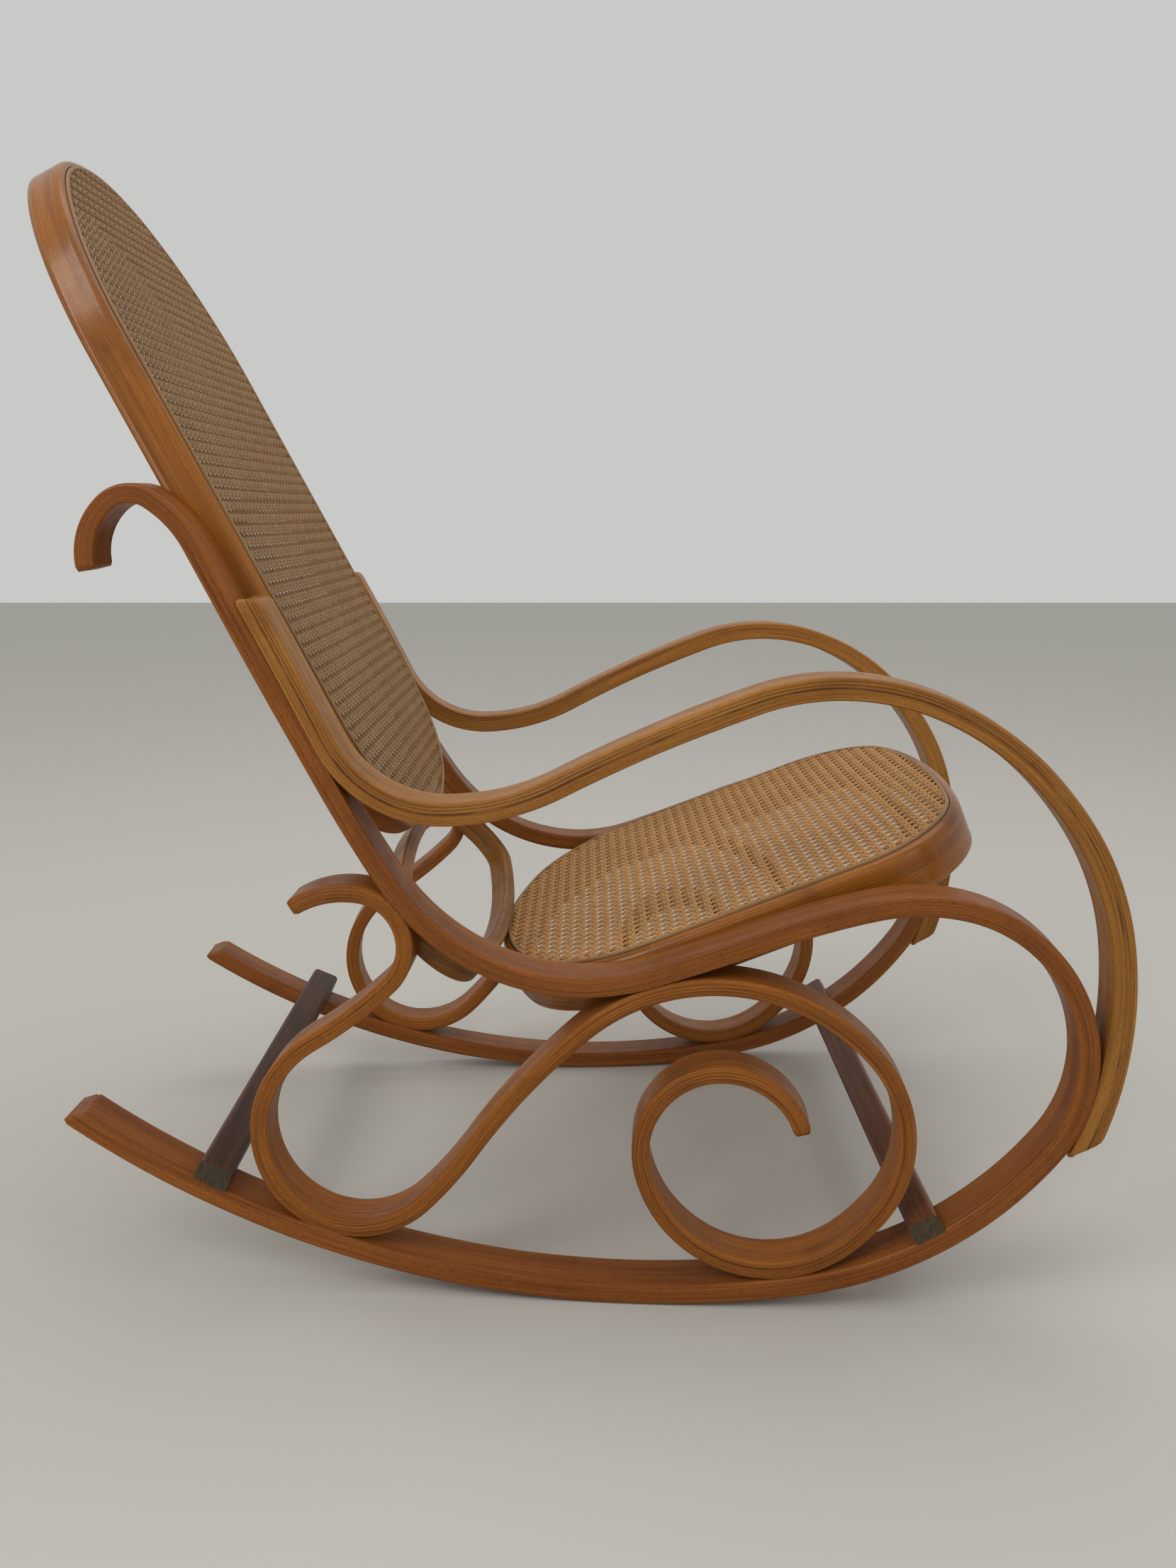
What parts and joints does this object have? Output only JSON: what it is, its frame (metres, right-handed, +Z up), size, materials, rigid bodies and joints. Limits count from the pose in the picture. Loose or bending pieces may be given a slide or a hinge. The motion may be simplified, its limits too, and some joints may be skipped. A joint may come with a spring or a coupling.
{
  "type": "rocking chair",
  "caption": "Bentwood rocking chair: one bent strip per side forms hook, back rail, seat rail and runner, with scrolls, bent arms and a woven cane back and seat",
  "frame": {"origin": "on the floor under the middle of the chair", "axes": "+X to the front of the chair, +Y to its left, +Z up"},
  "size_m": [1.0128, 0.5528, 1.0468],
  "materials": {
    "side_wood": "satin lacquered bentwood, reddish brown with fine short grain",
    "arm_wood": "satin lacquered laminated bentwood, golden middle and brown outer layers",
    "scroll_wood": "satin lacquered laminated bentwood, orange brown",
    "hoop_wood": "glossy lacquered bentwood, orange brown",
    "brace_wood": "satin lacquered bentwood, mottled brown",
    "rear_bar_wood": "satin dark walnut stain",
    "front_bar_wood": "satin dark reddish stain",
    "back_cane": "woven cane, tan brown",
    "seat_cane": "woven cane, golden tan",
    "reed": "smooth cane reed, light tan",
    "screw_steel": "plain steel"
  },
  "bodies": {
    "root": {"side_member_left": "side_wood", "side_member_right": "side_wood", "arm_left": "arm_wood", "arm_right": "arm_wood", "scroll_left": "scroll_wood", "scroll_right": "scroll_wood", "rear_crossbar": "rear_bar_wood", "front_crossbar": "front_bar_wood", "back_frame": "hoop_wood", "seat_frame": "hoop_wood", "hoop_brace": "brace_wood", "back_cane": "back_cane", "seat_cane": "seat_cane", "back_spline": "reed", "seat_spline": "reed", "arm_screws": "screw_steel", "scroll_screws": "screw_steel", "crossbar_screws": "screw_steel", "back_screws": "screw_steel", "seat_screws": "screw_steel", "brace_screws": "screw_steel"}
  },
  "joints": []
}
